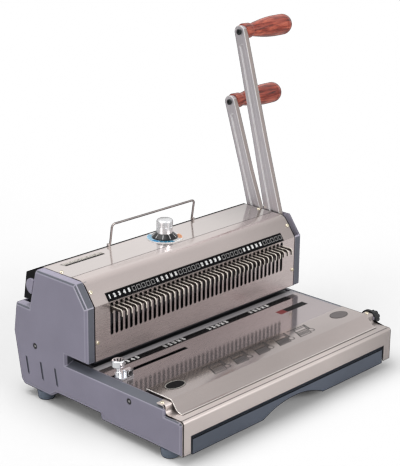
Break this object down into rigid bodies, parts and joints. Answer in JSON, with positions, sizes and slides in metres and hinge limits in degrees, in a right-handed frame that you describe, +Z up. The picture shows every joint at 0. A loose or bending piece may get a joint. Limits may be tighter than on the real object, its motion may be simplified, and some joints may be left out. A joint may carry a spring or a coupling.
{
  "type": "wire binding machine",
  "caption": "Desk wire binding machine with two wood-gripped levers, a row of selector pulls, a rear wire closer and a chip drawer.",
  "frame": {"origin": "bottom centre of the box round the whole machine, on the ground", "axes": "+X to the user's right, along the row of pulls; +Y to the rear; +Z up"},
  "size_m": [0.5134, 0.315, 0.4505],
  "materials": {
    "panel_plastic": "fine textured",
    "steel_cover": "polished, faintly brushed",
    "black_paint": "satin",
    "black_print": "printed film with pale numbers",
    "frame_steel": "plain sheet",
    "tool_steel": "ground",
    "dark_steel": "blackened",
    "bush_brass": "turned",
    "lever_alloy": "satin",
    "grip_wood": "lacquered red-brown hardwood",
    "foot_rubber": "matt",
    "drawer_plastic": "satin moulded",
    "knob_plastic": "moulded",
    "bright_chrome": "plated",
    "scale_plastic": "printed"
  },
  "bodies": {
    "chassis": {"base_pan": "frame_steel", "left_frame_plate": "frame_steel", "right_frame_plate": "frame_steel", "left_side_panel": "panel_plastic", "right_side_panel": "panel_plastic", "front_panel": "steel_cover", "front_cover": "steel_cover", "table_plate": "steel_cover", "upper_cover": "steel_cover", "top_plate": "steel_cover", "rear_cover": "black_paint", "rear_panel": "panel_plastic", "closer_end_cap": "panel_plastic", "die_plate": "tool_steel", "pin_guide_block": "tool_steel", "guide_posts": "tool_steel", "ram_springs": "tool_steel", "closer_anvil": "dark_steel", "shaft_bushes": "bush_brass", "drawer_runners": "frame_steel", "upper_number_strip": "black_print", "lower_number_strip": "black_print", "gauge_plate": "scale_plastic", "dial_plate": "scale_plastic", "bail_sockets": "black_paint", "feet": "foot_rubber", "cover_screws": "bush_brass", "panel_screws": "dark_steel"},
    "punch_lever_arm": {"punch_shaft": "tool_steel", "punch_pinions": "tool_steel", "punch_lever": "lever_alloy", "punch_grip": "grip_wood", "punch_grip_bolt": "dark_steel"},
    "ram": {"punch_ram": "tool_steel", "ram_racks": "tool_steel", "punch_pins": "tool_steel"},
    "pull_bank_1": {"selector_bank_1": "tool_steel"},
    "pull_bank_2": {"selector_bank_2": "tool_steel"},
    "pull_bank_3": {"selector_bank_3": "tool_steel"},
    "pull_bank_4": {"selector_bank_4": "tool_steel"},
    "pull_bank_5": {"selector_bank_5": "tool_steel"},
    "pull_bank_6": {"selector_bank_6": "tool_steel"},
    "pull_bank_7": {"selector_bank_7": "tool_steel"},
    "pull_bank_8": {"selector_bank_8": "tool_steel"},
    "closer_lever_arm": {"closer_shaft": "tool_steel", "closer_pinions": "tool_steel", "closer_lever": "lever_alloy", "closer_grip": "grip_wood", "closer_grip_bolt": "dark_steel"},
    "closer_jaw": {"closing_bar": "dark_steel"},
    "size_knob": {"knob_spindle": "tool_steel", "knob_skirt": "knob_plastic", "knob_cap": "bright_chrome"},
    "guide": {"side_guide": "bright_chrome"},
    "guide_thumb_knob": {"guide_knob": "bright_chrome"},
    "margin_dial": {"margin_knob": "knob_plastic"},
    "margin_gauge": {"back_gauge": "tool_steel"},
    "drawer": {"chip_drawer": "drawer_plastic"},
    "bail": {"wire_bail": "tool_steel"}
  },
  "joints": [
    {"name": "punch_lever_hinge", "type": "hinge", "parent": "chassis", "child": "punch_lever_arm", "pos_m": [-0.04775, 0.04788, 0.15], "axis": [1, 0, 0], "range_deg": [0, 75], "stiffness_Nm_per_rad": 1, "springref_deg": -40.11},
    {"name": "ram_slide", "type": "slide", "parent": "chassis", "child": "ram", "axis": [0, 0, -1], "range_m": [0, 0.01591], "deforming": ["ram_springs"]},
    {"name": "pull_bank_1_slide", "type": "slide", "parent": "ram", "child": "pull_bank_1", "axis": [0, -1, 0], "range_m": [0, 0.008]},
    {"name": "pull_bank_2_slide", "type": "slide", "parent": "ram", "child": "pull_bank_2", "axis": [0, -1, 0], "range_m": [0, 0.008]},
    {"name": "pull_bank_3_slide", "type": "slide", "parent": "ram", "child": "pull_bank_3", "axis": [0, -1, 0], "range_m": [0, 0.008]},
    {"name": "pull_bank_4_slide", "type": "slide", "parent": "ram", "child": "pull_bank_4", "axis": [0, -1, 0], "range_m": [0, 0.008]},
    {"name": "pull_bank_5_slide", "type": "slide", "parent": "ram", "child": "pull_bank_5", "axis": [0, -1, 0], "range_m": [0, 0.008]},
    {"name": "pull_bank_6_slide", "type": "slide", "parent": "ram", "child": "pull_bank_6", "axis": [0, -1, 0], "range_m": [0, 0.008]},
    {"name": "pull_bank_7_slide", "type": "slide", "parent": "ram", "child": "pull_bank_7", "axis": [0, -1, 0], "range_m": [0, 0.008]},
    {"name": "pull_bank_8_slide", "type": "slide", "parent": "ram", "child": "pull_bank_8", "axis": [0, -1, 0], "range_m": [0, 0.008]},
    {"name": "closer_lever_hinge", "type": "hinge", "parent": "chassis", "child": "closer_lever_arm", "pos_m": [-0.04775, 0.08128, 0.15], "axis": [-1, 0, 0], "range_deg": [0, 60], "stiffness_Nm_per_rad": 0.6, "springref_deg": -45.84},
    {"name": "closer_jaw_slide", "type": "slide", "parent": "chassis", "child": "closer_jaw", "axis": [0, 0, -1], "range_m": [0, 0.01277]},
    {"name": "size_knob_turn", "type": "hinge", "parent": "chassis", "child": "size_knob", "pos_m": [-0.04775, 0.08049, 0.185], "axis": [0, 0, 1], "range_deg": [0, 300]},
    {"name": "side_guide_slide", "type": "slide", "parent": "chassis", "child": "guide", "axis": [1, 0, 0], "range_m": [0, 0.1135]},
    {"name": "guide_knob_turn", "type": "hinge", "parent": "guide", "child": "guide_thumb_knob", "pos_m": [-0.23775, -0.02851, 0.08], "axis": [0, 0, 1], "range_deg": [-180, 180]},
    {"name": "margin_knob_turn", "type": "hinge", "parent": "chassis", "child": "margin_dial", "pos_m": [0.15225, -0.11651, 0.058], "axis": [1, 0, 0], "range_deg": [-46, 46]},
    {"name": "back_gauge_slide", "type": "slide", "parent": "chassis", "child": "margin_gauge", "axis": [0, 1, 0], "range_m": [-0.002, 0.002]},
    {"name": "drawer_slide", "type": "slide", "parent": "chassis", "child": "drawer", "axis": [0, -1, 0], "range_m": [0, 0.18]},
    {"name": "bail_fold", "type": "hinge", "parent": "chassis", "child": "bail", "pos_m": [-0.04625, 0.10698, 0.1835], "axis": [-1, 0, 0], "range_deg": [0, 100]}
  ],
  "couplings": [
    {"joint": "ram_slide", "follows": "punch_lever_hinge", "m_per_rad": 0.012},
    {"joint": "closer_jaw_slide", "follows": "closer_lever_hinge", "m_per_rad": 0.012},
    {"joint": "margin_knob_turn", "follows": "back_gauge_slide", "rad_per_m": -392.5}
  ]
}
